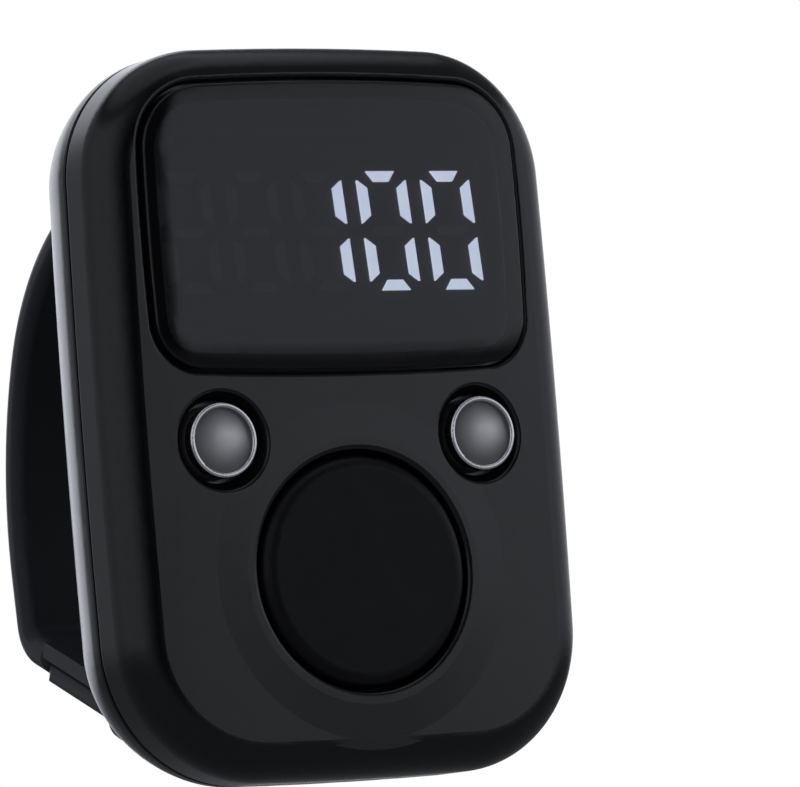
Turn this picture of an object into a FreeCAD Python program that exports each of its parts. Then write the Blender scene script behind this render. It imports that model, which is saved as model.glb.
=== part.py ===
import FreeCAD, Part
import math
import os
from collections import namedtuple

# Digital finger tally counter: a small pebble-shaped case with a numeric LED display, one big count
# button, two small side-by-side buttons and a two-piece silicone finger strap behind it.
# Frame: X to the right, +Y from the display towards the finger, +Z up the case. The modelling origin is
# on the front face's crown, at the middle of the case; every piece is shifted at export so that the
# origin ends up at the centre of the whole counter's box. Millimetres.

Vector = FreeCAD.Vector
Outline = namedtuple("Outline", "half_width z_low z_high r_low r_high bow_side bow_end")
Arc = namedtuple("Arc", "radius final_lean steps")
Switch = namedtuple("Switch", "half_size plunger_radius plunger_front cover_front cover_thickness travel")

# ---------------------------------------------------------------- driving dimensions
CASE_WIDTH = 30.2
CASE_HEIGHT = 42.0
CASE_DEPTH = 13.3
CASE = Outline(CASE_WIDTH / 2, -CASE_HEIGHT / 2, CASE_HEIGHT / 2, 8.3, 7.5, 0.35, 0.4)
CROWN_RADIUS = 135.0            # the front face is part of a large upright cylinder
FRONT_EDGE_RADIUS = 2.2
WALL = 1.4
FRONT_WALL = 1.9
OVERLAP = 0.3                   # how far a rib or boss is rooted in its wall
THROUGH = 1.0                   # how far a cutter runs past the material it cuts
CLOSE = 0.01                    # places nearer than this count as the same place
SHELL_REAR = 4.6                # depth where the front shell ends
PARTING_GAP = 0.2               # open groove between shell and cover
COVER_FRONT = SHELL_REAR + PARTING_GAP
CURL_START = 5.3                # the cover's walls curl inwards from here to the back:
CURL_EDGE = Arc(2.0, 12.0, 2)   # a quick turn, a long slow one, a straight lean, then a round back edge
CURL_SIDE = Arc(12.0, 32.0, 4)
CURL_BACK = Arc(3.0, 90.0, 5)
PARTING_EDGE_RADIUS = 0.12
LIP_DEPTH = 0.75                # cover lip that plugs into the shell
LIP_CLEARANCE = 0.06

WINDOW = Outline(12.4, 2.1, 18.95, 2.9, 4.0, 0.25, 0.4)
WINDOW_GAP = 0.14
WINDOW_PROUD = 0.35             # the window stands this far out of the crown
WINDOW_BACK = 0.95
WINDOW_ROLL = (0.12, 0.8, 8.0)  # the window's rim rolls off: drop, width and blend radius
WINDOW_EDGE_RADIUS = 0.15
ADHESIVE_THICKNESS = 0.15
WINDOW_LEDGE = 1.1              # width of the ledge that the window is glued to
POCKET_LIP_RADIUS = 0.3
MOUTH_MARGIN = 0.1

COUNT_Z = -9.3
COUNT_HOLE_RADIUS = 6.85
COUNT_CAP_RADIUS = 6.7
COUNT_TRAVEL = 0.6
COUNT_CAP_FRONT = -0.18
COUNT_CAP_ROUNDING = 0.85
COLLAR_HEIGHT = 0.07            # soft raised collar round the count button, following the crown
COLLAR_RADIUS = 10.2            # its outer foot
COLLAR_FALL = (0.09, 2.6)       # its rim falls this much over this width
COLLAR_LOW = -19.5              # it stops where the case's front edge starts to round
COUNT_MOUTH_RADIUS = 0.35
CORE_RADIUS = 1.5
CAP_WALL = 1.3
CAP_ROOF = 1.7
COUNT_FLANGE_REACH = 0.8        # flanges behind the face keep the buttons from falling out
FLANGE_GAP = 0.08
FLANGE_THICKNESS = 0.6

SIDE_X = 8.56
SIDE_Z = -1.63
SIDE_TRAVEL = 0.4
SIDE_HOLE_RADIUS = 2.35
SIDE_SINK_RADIUS = 2.85         # mouth of the countersink round each small button
SIDE_SINK_DEPTH = 0.9
SIDE_SINK_EDGE_RADIUS = 0.2
SINK_MARGIN = 0.3
RING_RADIUS = 2.14
RING_WALL = 0.29
RING_EDGE_RADIUS = 0.122
RING_FRONT = 0.0
RING_BACK = 0.75
DOME_HEIGHT = 0.45
DOME_PROUD = 0.18               # how far a dome's top stands ahead of its ring
SIDE_FLANGE_REACH = 0.5

COUNT_SWITCH = Switch(2.5, 1.0, 3.9, 4.25, 0.15, COUNT_TRAVEL)
SIDE_SWITCH = Switch(1.8, 0.75, 4.1, 4.45, 0.15, SIDE_TRAVEL)
SWITCH_FLOOR = 0.25
SWITCH_WELL = 0.7               # radii inside a switch, as shares of its half size
SWITCH_DOME = 0.64
SWITCH_FOOT = 0.62
SNAP_HEIGHT = 0.2
SNAP_THICKNESS = 0.08
SWITCH_CLEARANCE = 0.05

BOARD_FRONT = 6.0
BOARD_BACK = 6.9
BOARD = Outline(12.5, -18.2, 18.2, 4.5, 4.2, 0.3, 0.3)

BOSS_X = 11.0
BOSS_Z = 16.6
BOSS_RADIUS = 1.7
SCREW_RADIUS = 0.6
SCREW_HEAD_RADIUS = 1.3
SCREW_HEAD_FRONT = 8.2
SCREW_HEAD_HEIGHT = 1.0
SCREW_TIP = 3.2
SCREW_EDGE_RADIUS = 0.25
SCREW_CLEARANCE = 0.15
CROSS_RECESS = (0.75, 0.16, 0.55)         # half length, half width and depth
BOSS_BACK = 6.4
COVER_BOSS_RADIUS = 1.9
BOSS_GAP = 0.1
POST_X = 11.0                   # two posts and two side shelves carry the circuit board
POST_Z = -8.0
POST_RADIUS = 0.9
SHELF = ((11.9, 13.9), (9.0, 11.5))

CHIP_HALF = 2.1
CHIP_Z = -1.3
CHIP_THICKNESS = 0.9
CHIP_STANDOFF = 0.1
CHIP_DOT = (0.25, 0.7, 0.08)    # radius, distance from two edges, depth
CHIP_LEG = (0.6, 0.24, 0.2)     # length, width, thickness
CHIP_LEG_PITCH = 0.55
CHIP_LEGS_PER_SIDE = 7
CRYSTAL = ((-7.0, -3.8), 0.9, (-15.6, -14.0))
CRYSTAL_RADIUS = 0.3
PASSIVE = (1.0, 0.45, 0.5)
PASSIVE_GRID = (4.6, 1.7, 3, -14.0, -1.2, 2)      # first x, pitch and columns, then the same along z
PASSIVE_BESIDE_CHIP = (4.2, 1.3)

DIGIT_COUNT = 5
DIGIT_PITCH = 4.3
DIGIT_HEIGHT = 6.9
DIGIT_WIDTH = 3.25
DIGIT_CENTRE_X = -0.1
DIGIT_CENTRE_Z = 10.35
DIGIT_LEAN = math.radians(-4.4)
STROKE = 0.6
MIDDLE_STROKE = 0.5
END_SLANT = 0.45                # how much shorter a stroke's inner side is, at each end
BAR_END_GAP = 0.7               # from a digit's side to the end of its top or bottom bar
UPRIGHT_END_GAP = 0.52
UPRIGHT_MIDDLE_GAP = 0.43
SEGMENT_FRONT = 2.0
SHOWN = "  100"
SEGMENTS_LIT = {" ": "", "0": "abcdef", "1": "bc"}
HOUSING_FRONT = 2.2
HOUSING_HALF_WIDTH = 10.7
HOUSING_Z = (4.7, 15.9)
HOUSING_CLEARANCE = 0.25
PIN_COLUMNS = [-8.75, -5.25, -1.75, 1.75, 5.25, 8.75]
PIN_ROWS = [6.0, 14.7]
PIN_HALF = 0.2
PIN_TAIL = 0.6
PIN_HOLE_RADIUS = 0.32
BOARD_CLEARANCE = 0.4

CELL_RADIUS = 8.0
CELL_FRONT = 7.6
CELL_BACK = 10.8
CELL_CAP_INSET = 0.8            # the smaller negative cap, on the side towards the board
CELL_CAP_HEIGHT = 0.5
CELL_EDGE_RADIUS = 0.3
CONTACT_SKIN = 0.15
MINUS_CONTACT = (1.5, 0.5, 3.0, 5.0)      # half width, then half lengths of crest, slopes and feet
CONTACT_PRELOAD = 0.02
PLUS_CONTACT_HALF = 1.4
PLUS_CONTACT_FOOT = 2.2
PLUS_CONTACT_SHORT = 0.5        # how far the blade stops before the cell's back
CONTACT_GAP = 0.03
CONTACT_SLIT = (10.2, 1.8, 10.6)          # the well's wall is cut for the blade: reach, half width, end depth
WELL_RADIUS = 8.2
WELL_OUTER_RADIUS = 9.8
WELL_FRONT = 8.2
DOOR_FLANGE_RADIUS = 8.9
DOOR_FLANGE_FRONT = 12.5
DOOR_PLUG_RADIUS = 8.05
DOOR_PLUG_FRONT = 10.95
BAYONET_RADIUS = 8.75
BAYONET_BACK = 11.6
BAYONET_GROOVE = (10.85, 11.7)
BAYONET_COUNT = 3
BAYONET_SWEEP = 16.0            # degrees covered by one tab
BAYONET_CLEARANCE = 0.1
BAYONET_SIDE_PLAY = 4.0         # degrees
DOOR_TURN = 35.0                # degrees from locked to released
DOOR_CLEARANCE = 0.12
DOOR_SINK = 0.05                # the door lies this far below the case's back
DOOR_EDGE_RADIUS = 0.2
DOOR_PLUG_WALL = 1.0
DOOR_FLOOR = 0.6
COIN_SLOT = (5.0, 0.85, 0.65)   # half length, half width and depth

STRAP_WIDTH = 14.0
STRAP_THICKNESS = 1.95
STRAP_EDGE_RADIUS = 0.8
PIN_Y = 15.2
UPPER_PIN_Z = 15.2
LOWER_PIN_Z = -15.9
PIN_RADIUS = 0.6
EYE_RADIUS = 1.7
EYE_CLEARANCE = 0.05
EYE_EDGE_RADIUS = 0.3
PIN_END_RADIUS = 0.15
PIN_END_PLAY = 0.05
LUG_RADIUS = 1.35
LUG_THICKNESS = 1.2
LUG_GAP = 0.12
PIN_REACH_IN_LUG = 0.9          # each pin ends this deep in its lugs
SHOULDER_BEND = Vector(0, 25.0, 11.8)     # corners of the long band's path, before rounding
BACK_BEND = Vector(0, 29.8, -0.3)
LONG_BAND_RADII = [14.0, 27.0, 1.9]
RUN_SLOPE = math.radians(22.0)  # the lower run of the strap climbs away from the case
RUN_CORNER = 14.6               # distance from the lower pin to the strap's lower corner
SHORT_BAND_REACH = 11.3
SHORT_BAND_OFFSETS = (0.45, 1.7)
SHORT_BAND_EDGE_RADIUS = 0.5
TAIL_OFFSETS = (-0.6, 0.35)
TAIL_START = 4.7
TAIL_OVERLAP = 0.5
SHOULDER = 11.5
STUD_REACH = 8.3
STUD_RADIUS = 0.95
STUD_HEAD_RADIUS = 1.9
STUD_TIP_RADIUS = 0.28
STUD_HEAD_SINK = 0.45
STUD_HEAD_THICKNESS = 0.41
STUD_PROUD = 0.3                # how far the stud stands out of the tail, towards the finger
SLOT_WIDTH = 2.3
SLOT_STRETCH = 1.5              # how much longer than wide each strap slot is
SPARE_SLOT_Z = [-7.6, -3.4, 0.8]
TAIL_SLOT_DEPTH = 4.0
BACK_SLOT_DEPTH = 6.0


# ---------------------------------------------------------------- small helpers
def box(x_span, y_span, z_span):
    low = Vector(x_span[0], y_span[0], z_span[0])
    return Part.makeBox(x_span[1] - x_span[0], y_span[1] - y_span[0], z_span[1] - z_span[0], low)


def disc(x, z, radius, front, back):
    return Part.makeCylinder(radius, back - front, Vector(x, front, z), Vector(0, 1, 0))


def ring(x, z, outer, inner, front, back):
    return disc(x, z, outer, front, back).cut(disc(x, z, inner, front - THROUGH, back + THROUGH))


def cone(x, z, front_radius, back_radius, front, back):
    return Part.makeCone(front_radius, back_radius, back - front, Vector(x, front, z), Vector(0, 1, 0))


def crossbar(y, z, radius, half_length):
    return Part.makeCylinder(radius, 2 * half_length, Vector(-half_length, y, z), Vector(1, 0, 0))


def rounded(shape, radius, edges):
    """Fillet the given edges."""
    return shape.makeFillet(radius, edges)


def edges_at(shape, test):
    return [edge for edge in shape.Edges if test(edge)]


def flat_at(edge, depth):
    """True when the whole edge lies at one depth."""
    bounds = edge.BoundBox
    return abs(bounds.YMin - depth) < CLOSE and abs(bounds.YMax - depth) < CLOSE


def corner_centre(side_centre, side_radius, end_centre, end_radius):
    """Where two circles meet, on the side away from both centres' axes."""
    span = end_centre - side_centre
    gap = span.Length
    along = (side_radius ** 2 - end_radius ** 2 + gap ** 2) / (2 * gap)
    across = math.sqrt(side_radius ** 2 - along ** 2)
    unit = span * (1 / gap)
    normal = Vector(-unit.z, 0, unit.x)
    meets = [side_centre + unit * along + normal * across * way for way in (1, -1)]
    return max(meets, key=lambda point: point.x)


def outline_wire(outline, inset, depth):
    """A rounded rectangle whose four sides bow gently outwards, as a closed wire of eight tangent arcs."""
    mid = (outline.z_high + outline.z_low) / 2
    half_height = (outline.z_high - outline.z_low) / 2
    side_radius = (half_height ** 2 + outline.bow_side ** 2) / (2 * outline.bow_side)
    end_radius = (outline.half_width ** 2 + outline.bow_end ** 2) / (2 * outline.bow_end)
    side_centre = Vector(outline.half_width - side_radius, 0, 0)
    corners = []
    for way, radius, end_z in ((1, outline.r_high, outline.z_high), (-1, outline.r_low, outline.z_low)):
        end_centre = Vector(0, 0, abs(end_z - mid) - end_radius)
        centre = corner_centre(side_centre, side_radius - radius, end_centre, end_radius - radius)
        to_side = (centre - side_centre).normalize()
        to_end = (centre - end_centre).normalize()
        small = radius - inset
        halfway = (to_side + to_end).normalize()
        arc = [centre + way_out * small for way_out in (to_side, halfway, to_end)]
        corners.append([Vector(point.x, depth, mid + way * point.z) for point in arc])
    top, low = corners

    def mirrored(points):
        return [Vector(-point.x, point.y, point.z) for point in points]

    side = Vector(outline.half_width - inset, depth, mid)
    crown = Vector(0, depth, outline.z_high - inset)
    keel = Vector(0, depth, outline.z_low + inset)
    left_top = mirrored(top)
    left_low = mirrored(low)
    arcs = [(low[0], side, top[0]), tuple(top), (top[2], crown, left_top[2]), tuple(reversed(left_top)),
            (left_top[0], mirrored([side])[0], left_low[0]), tuple(left_low), (left_low[2], keel, low[2]),
            tuple(reversed(low))]
    return Part.Wire([Part.Arc(*points).toShape() for points in arcs])


def prism(outline, inset, front, back):
    return Part.Face(outline_wire(outline, inset, front)).extrude(Vector(0, back - front, 0))


def crowned(solid, depth):
    """Trim a solid's front to the case's large upright cylinder, shifted to the given depth."""
    crown = Part.makeCylinder(CROWN_RADIUS, CASE_HEIGHT * 2, Vector(0, CROWN_RADIUS + depth, -CASE_HEIGHT))
    return solid.common(crown)


def polygon_prism(points, half_width):
    """Extrude a closed (y, z) polygon across the strap's width."""
    corners = [Vector(-half_width, y, z) for y, z in points]
    wire = Part.makePolygon(corners + corners[:1])
    return Part.Face(wire).extrude(Vector(2 * half_width, 0, 0))


# ---------------------------------------------------------------- case
def curl_stations():
    """Places down the cover's wall, front to back: the wall's lean, its inset and its depth."""
    lean = 0.0
    inset = 0.0
    depth = CURL_START
    stations = [(0, 0, COVER_FRONT), (0, 0, (COVER_FRONT + CURL_START) / 2), (0, 0, CURL_START)]
    for arc in (CURL_EDGE, CURL_SIDE, CURL_BACK):
        if arc is CURL_BACK:
            straight = CASE_DEPTH - depth - arc.radius * (1 - math.sin(lean))
            stations.append((lean, inset + math.tan(lean) * straight / 2, depth + straight / 2))
            inset += math.tan(lean) * straight
            depth += straight
            stations.append((lean, inset, depth))
        final = math.radians(arc.final_lean)
        for step in range(1, arc.steps + 1):
            angle = lean + (final - lean) * step / arc.steps
            across = arc.radius * (math.cos(lean) - math.cos(angle))
            stations.append((angle, inset + across, depth + arc.radius * (math.sin(angle) - math.sin(lean))))
        lean, inset, depth = stations[-1]
    return stations


def pebble(inset):
    """The rear cover's envelope, or the same surface moved inwards by inset."""
    wires = [outline_wire(CASE, along + inset * math.cos(lean), depth - inset * math.sin(lean))
             for lean, along, depth in curl_stations()]
    return Part.makeLoft(wires, True, False)


def board_supports(front, back):
    """Posts and side shelves between two depths, to be trimmed by whichever half carries them."""
    span_x, span_z = SHELF
    pieces = []
    for side in (-1, 1):
        pieces.append(disc(side * POST_X, POST_Z, POST_RADIUS, front, back))
        shelf_x = sorted((side * span_x[0], side * span_x[1]))
        pieces.append(box(shelf_x, (front, back), span_z))
    return pieces


def screw_places():
    return [(across * BOSS_X, up * BOSS_Z) for across in (-1, 1) for up in (-1, 1)]


def along_crown(edge, depth):
    """True when the whole edge lies on the crowned surface at the given depth, whatever its outline."""
    falls = [point.y - depth - point.x ** 2 / (2 * CROWN_RADIUS) for point in edge.discretize(5)]
    return max(falls) < CLOSE and min(falls) > -CLOSE


def count_collar():
    """The soft collar that lifts the face gently round the count button."""
    plateau = crowned(disc(0, COUNT_Z, COLLAR_RADIUS, -THROUGH, THROUGH), -COLLAR_HEIGHT)
    rim = edges_at(plateau, lambda edge: along_crown(edge, -COLLAR_HEIGHT))
    plateau = plateau.makeChamfer(*COLLAR_FALL, rim)
    return plateau.common(box((-CASE_WIDTH, CASE_WIDTH), (-THROUGH, THROUGH), (COLLAR_LOW, WINDOW.z_low)))


def at_window_mouth(edge):
    """True for an edge where the window's pocket breaks through the face."""
    bounds = edge.BoundBox
    inside_x = max(-bounds.XMin, bounds.XMax) < WINDOW.half_width + MOUTH_MARGIN
    inside_z = WINDOW.z_low - MOUTH_MARGIN < bounds.ZMin and bounds.ZMax < WINDOW.z_high + MOUTH_MARGIN
    return inside_x and inside_z and bounds.YMax < WINDOW_BACK - CLOSE


def between_radii(edge, x, z, low, high):
    """True when the whole edge runs on the face between two distances from an axis."""
    points = edge.discretize(7)
    reaches = [math.hypot(point.x - x, point.z - z) for point in points]
    return min(reaches) > low and max(reaches) < high and max(point.y for point in points) < WINDOW_BACK


def add_collar(blank):
    shell = blank.fuse(count_collar())
    shell = shell.cut(disc(0, COUNT_Z, COUNT_HOLE_RADIUS, -THROUGH, SHELL_REAR))
    mouth = edges_at(shell, lambda edge: along_crown(edge, -COLLAR_HEIGHT)
                     and between_radii(edge, 0, COUNT_Z, 0, COUNT_HOLE_RADIUS + CLOSE))
    return rounded(shell, COUNT_MOUTH_RADIUS, mouth)


def open_face(shell):
    """Cut the window's pocket and the small buttons' funnels into the face and soften their edges."""
    shell = shell.cut(prism(WINDOW, 0, -THROUGH, WINDOW_BACK + ADHESIVE_THICKNESS))
    shell = shell.cut(prism(WINDOW, WINDOW_LEDGE, -THROUGH, FRONT_WALL + THROUGH))
    shell = rounded(shell, POCKET_LIP_RADIUS, edges_at(shell, at_window_mouth))
    for x in (-SIDE_X, SIDE_X):
        shell = shell.cut(disc(x, SIDE_Z, SIDE_HOLE_RADIUS, -THROUGH, FRONT_WALL + THROUGH / 2))
        shell = shell.cut(side_countersink(x))
        inner, outer = SIDE_HOLE_RADIUS + SINK_MARGIN, SIDE_SINK_RADIUS + SINK_MARGIN
        mouth = edges_at(shell, lambda edge: between_radii(edge, x, SIDE_Z, inner, outer))
        shell = rounded(shell, SIDE_SINK_EDGE_RADIUS, mouth)
    return shell


def make_front_shell():
    blank = crowned(prism(CASE, 0, -THROUGH, SHELL_REAR), 0.0)
    rim = edges_at(blank, lambda edge: edge.BoundBox.YMax < SHELL_REAR / 2)
    blank = rounded(blank, FRONT_EDGE_RADIUS, rim)
    blank = rounded(blank, PARTING_EDGE_RADIUS, edges_at(blank, lambda edge: flat_at(edge, SHELL_REAR)))
    shell = open_face(add_collar(blank))
    shell = shell.cut(prism(CASE, WALL, FRONT_WALL, SHELL_REAR + THROUGH))
    shell = shell.cut(prism(CASE, LIP_DEPTH, SHELL_REAR - LIP_DEPTH, SHELL_REAR + THROUGH))
    inner = board_supports(FRONT_WALL - OVERLAP, BOARD_FRONT)
    for x, z in screw_places():
        inner.append(disc(x, z, BOSS_RADIUS, FRONT_WALL - OVERLAP, BOSS_BACK))
    behind_lip = prism(CASE, WALL + LIP_CLEARANCE, 0, BOSS_BACK + THROUGH)
    ahead_of_lip = prism(CASE, WALL - OVERLAP, 0, SHELL_REAR - LIP_DEPTH)
    shell = shell.fuse([piece.common(behind_lip.fuse(ahead_of_lip)) for piece in inner])
    for x, z in screw_places():
        shell = shell.cut(disc(x, z, SCREW_RADIUS, SCREW_TIP, BOSS_BACK + THROUGH))
    return shell.removeSplitter()


def side_countersink(x):
    """The dark funnel round a small button: it starts one depth ahead of the crowned surface there."""
    surface = SIDE_X ** 2 / (2 * CROWN_RADIUS)
    spread = SIDE_SINK_RADIUS - SIDE_HOLE_RADIUS
    return cone(x, SIDE_Z, SIDE_SINK_RADIUS + spread, SIDE_HOLE_RADIUS, surface - SIDE_SINK_DEPTH,
                surface + SIDE_SINK_DEPTH)


def make_window():
    """The smoked window: its front follows the crown and its rim rolls off before a small hard edge."""
    pane = crowned(prism(WINDOW, WINDOW_GAP, -WINDOW_PROUD - THROUGH, WINDOW_BACK), -WINDOW_PROUD)
    drop, width, blend_radius = WINDOW_ROLL
    pane = pane.makeChamfer(drop, width, edges_at(pane, lambda edge: along_crown(edge, -WINDOW_PROUD)))
    pane = rounded(pane, blend_radius, edges_at(pane, lambda edge: along_crown(edge, -WINDOW_PROUD)))
    corner = edges_at(pane, lambda edge: along_crown(edge, drop - WINDOW_PROUD))
    return rounded(pane, WINDOW_EDGE_RADIUS, corner)


def make_window_adhesive():
    back = WINDOW_BACK + ADHESIVE_THICKNESS
    sheet = prism(WINDOW, WINDOW_GAP, WINDOW_BACK, back)
    return sheet.cut(prism(WINDOW, WINDOW_LEDGE, WINDOW_BACK - THROUGH, back + THROUGH))


def bayonet_sector(radius, front, back, centre_angle, sweep):
    sector = Part.makeCylinder(radius, back - front, Vector(0, front, 0), Vector(0, 1, 0), sweep)
    sector.rotate(Vector(), Vector(0, 1, 0), centre_angle - sweep / 2)
    return sector


def bayonet_angles():
    return [step * 360 / BAYONET_COUNT for step in range(BAYONET_COUNT)]


def lugs(pin_z):
    """Two ears that hold one strap pin, standing on the cover's back."""
    inner_x = STRAP_WIDTH / 2 + LUG_GAP
    ears = []
    for side in (-1, 1):
        span = sorted((side * inner_x, side * (inner_x + LUG_THICKNESS)))
        ear = Part.makeCylinder(LUG_RADIUS, LUG_THICKNESS, Vector(span[0], PIN_Y, pin_z), Vector(1, 0, 0))
        web = box(span, (CASE_DEPTH - WALL + OVERLAP, PIN_Y), (pin_z - LUG_RADIUS, pin_z + LUG_RADIUS))
        ears.append(ear.fuse(web))
    return ears


def cut_battery_well(cover):
    """The round battery well: its mouth, the door's seat, the bayonet groove and the slit for a contact."""
    cover = cover.cut(disc(0, 0, WELL_RADIUS, WELL_FRONT - THROUGH, CASE_DEPTH + THROUGH))
    seat_radius = DOOR_FLANGE_RADIUS + DOOR_CLEARANCE
    cover = cover.cut(disc(0, 0, seat_radius, DOOR_FLANGE_FRONT, CASE_DEPTH + THROUGH))
    groove_radius = BAYONET_RADIUS + BAYONET_CLEARANCE
    cover = cover.cut(disc(0, 0, groove_radius, *BAYONET_GROOVE))
    for angle in bayonet_angles():
        cover = cover.cut(bayonet_sector(groove_radius, BAYONET_BACK, CASE_DEPTH + THROUGH, angle + DOOR_TURN,
                                         BAYONET_SWEEP + BAYONET_SIDE_PLAY))
    slit_reach, slit_half, slit_back = CONTACT_SLIT
    return cover.cut(box((0, slit_reach), (WELL_FRONT - THROUGH, slit_back), (-slit_half, slit_half)))


def make_rear_cover():
    blank = pebble(0)
    blank = rounded(blank, PARTING_EDGE_RADIUS, edges_at(blank, lambda edge: flat_at(edge, COVER_FRONT)))
    cover = blank.cut(pebble(WALL))
    lip_front = SHELL_REAR - LIP_DEPTH + LIP_CLEARANCE
    lip = prism(CASE, LIP_DEPTH + LIP_CLEARANCE, lip_front, COVER_FRONT + OVERLAP)
    cover = cover.fuse(lip.cut(prism(CASE, WALL, 0, COVER_FRONT + THROUGH)))
    inner = [ring(0, 0, WELL_OUTER_RADIUS, WELL_RADIUS, WELL_FRONT, CASE_DEPTH - WALL / 2)]
    inner += board_supports(BOARD_BACK, CASE_DEPTH)
    for x, z in screw_places():
        inner.append(disc(x, z, COVER_BOSS_RADIUS, BOSS_BACK + BOSS_GAP, CASE_DEPTH))
    room = pebble(OVERLAP).fuse(prism(CASE, WALL, 0, COVER_FRONT + THROUGH))
    cover = cover.fuse([piece.common(room) for piece in inner])
    cover = cut_battery_well(cover.fuse(lugs(UPPER_PIN_Z) + lugs(LOWER_PIN_Z)))
    for x, z in screw_places():
        cover = cover.cut(disc(x, z, SCREW_RADIUS + SCREW_CLEARANCE, BOSS_BACK, CASE_DEPTH))
        cover = cover.cut(disc(x, z, SCREW_HEAD_RADIUS + SCREW_CLEARANCE, SCREW_HEAD_FRONT,
                               CASE_DEPTH + THROUGH))
    for pin_z in (UPPER_PIN_Z, LOWER_PIN_Z):
        cover = cover.cut(crossbar(PIN_Y, pin_z, PIN_RADIUS, pin_half_length()))
    return cover.removeSplitter()


def pin_half_length():
    return STRAP_WIDTH / 2 + LUG_GAP + PIN_REACH_IN_LUG


def make_case_screws():
    """Four screws with a crosswise recess in each head."""
    screws = []
    head_back = SCREW_HEAD_FRONT + SCREW_HEAD_HEIGHT
    half_length, half_width, recess = CROSS_RECESS
    for x, z in screw_places():
        screw = disc(x, z, SCREW_HEAD_RADIUS, SCREW_HEAD_FRONT, head_back)
        screw = rounded(screw, SCREW_EDGE_RADIUS, edges_at(screw, lambda edge: flat_at(edge, head_back)))
        screw = screw.fuse(disc(x, z, SCREW_RADIUS, SCREW_TIP + BOSS_GAP, SCREW_HEAD_FRONT))
        for half_x, half_z in ((half_length, half_width), (half_width, half_length)):
            screw = screw.cut(box((x - half_x, x + half_x), (head_back - recess, head_back + THROUGH),
                                  (z - half_z, z + half_z)))
        screws.append(screw)
    return Part.makeCompound(screws)


# ---------------------------------------------------------------- buttons and their switches
def flange_behind_face(x, z, radius):
    front = FRONT_WALL + FLANGE_GAP
    return disc(x, z, radius, front, front + FLANGE_THICKNESS)


def make_count_button():
    """A soft-edged cap, hollow behind, with a flange and a stem that reaches its switch."""
    cap = disc(0, COUNT_Z, COUNT_CAP_RADIUS, COUNT_CAP_FRONT, FRONT_WALL + FLANGE_GAP)
    cap = rounded(cap, COUNT_CAP_ROUNDING, edges_at(cap, lambda edge: flat_at(edge, COUNT_CAP_FRONT)))
    flange = flange_behind_face(0, COUNT_Z, COUNT_CAP_RADIUS + COUNT_FLANGE_REACH)
    core_back = COUNT_SWITCH.cover_front - COUNT_TRAVEL - FLANGE_GAP
    core = disc(0, COUNT_Z, CORE_RADIUS, COUNT_CAP_FRONT + CAP_ROOF, core_back)
    stem = disc(0, COUNT_Z, COUNT_SWITCH.plunger_radius, core_back, COUNT_SWITCH.plunger_front)
    hollow = disc(0, COUNT_Z, COUNT_CAP_RADIUS - CAP_WALL, COUNT_CAP_FRONT + CAP_ROOF, core_back)
    return cap.fuse(flange).cut(hollow).fuse([core, stem]).removeSplitter()


def make_side_button(x):
    """Glossy dome on a stem, with a shoulder for its bright ring and a flange behind the face."""
    inner = RING_RADIUS - RING_WALL
    sphere_radius = (inner ** 2 + DOME_HEIGHT ** 2) / (2 * DOME_HEIGHT)
    apex = RING_FRONT - DOME_PROUD
    dome = Part.makeSphere(sphere_radius, Vector(x, apex + sphere_radius, SIDE_Z))
    cap = dome.common(disc(x, SIDE_Z, inner, apex - THROUGH, apex + 2 * DOME_HEIGHT))
    neck = disc(x, SIDE_Z, inner, apex + DOME_HEIGHT, RING_BACK)
    body = disc(x, SIDE_Z, RING_RADIUS, RING_BACK, FRONT_WALL + FLANGE_GAP)
    flange = flange_behind_face(x, SIDE_Z, SIDE_HOLE_RADIUS + SIDE_FLANGE_REACH)
    stem = disc(x, SIDE_Z, SIDE_SWITCH.plunger_radius, FRONT_WALL, SIDE_SWITCH.plunger_front)
    return cap.fuse([neck, body, flange, stem]).removeSplitter()


def make_side_ring(x):
    bezel = ring(x, SIDE_Z, RING_RADIUS, RING_RADIUS - RING_WALL, RING_FRONT, RING_BACK)
    return rounded(bezel, RING_EDGE_RADIUS, edges_at(bezel, lambda edge: flat_at(edge, RING_FRONT)))


def make_switch_base(switch, x, z):
    """An open square tray that holds the snap disc."""
    front = switch.cover_front + switch.cover_thickness
    half = switch.half_size
    base = box((x - half, x + half), (front, BOARD_FRONT), (z - half, z + half))
    return base.cut(disc(x, z, half * SWITCH_WELL, front - THROUGH, BOARD_FRONT - SWITCH_FLOOR))


def make_switch_cover(switch, x, z):
    half = switch.half_size
    back = switch.cover_front + switch.cover_thickness
    plate = box((x - half, x + half), (switch.cover_front, back), (z - half, z + half))
    hole_radius = switch.plunger_radius + 2 * SWITCH_CLEARANCE
    return plate.cut(disc(x, z, hole_radius, switch.cover_front - THROUGH, back + THROUGH))


def make_switch_dome(switch, x, z):
    """The snap disc: a shallow spherical cap of thin steel resting on the base's floor."""
    floor = BOARD_FRONT - SWITCH_FLOOR
    radius = switch.half_size * SWITCH_DOME
    sphere_radius = (radius ** 2 + SNAP_HEIGHT ** 2) / (2 * SNAP_HEIGHT)
    centre = Vector(x, floor - SNAP_HEIGHT + sphere_radius, z)
    outer = Part.makeSphere(sphere_radius, centre)
    inner = Part.makeSphere(sphere_radius - SNAP_THICKNESS, centre)
    return outer.cut(inner).common(disc(x, z, radius, floor - THROUGH, floor))


def make_switch_plunger(switch, x, z):
    foot_front = switch.cover_front + switch.cover_thickness + SWITCH_CLEARANCE
    foot_back = BOARD_FRONT - SWITCH_FLOOR - SNAP_HEIGHT - switch.travel - SWITCH_CLEARANCE
    stem = disc(x, z, switch.plunger_radius, switch.plunger_front, foot_back)
    foot = disc(x, z, switch.half_size * SWITCH_FOOT, foot_front, foot_back)
    return stem.fuse(foot).removeSplitter()


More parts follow.
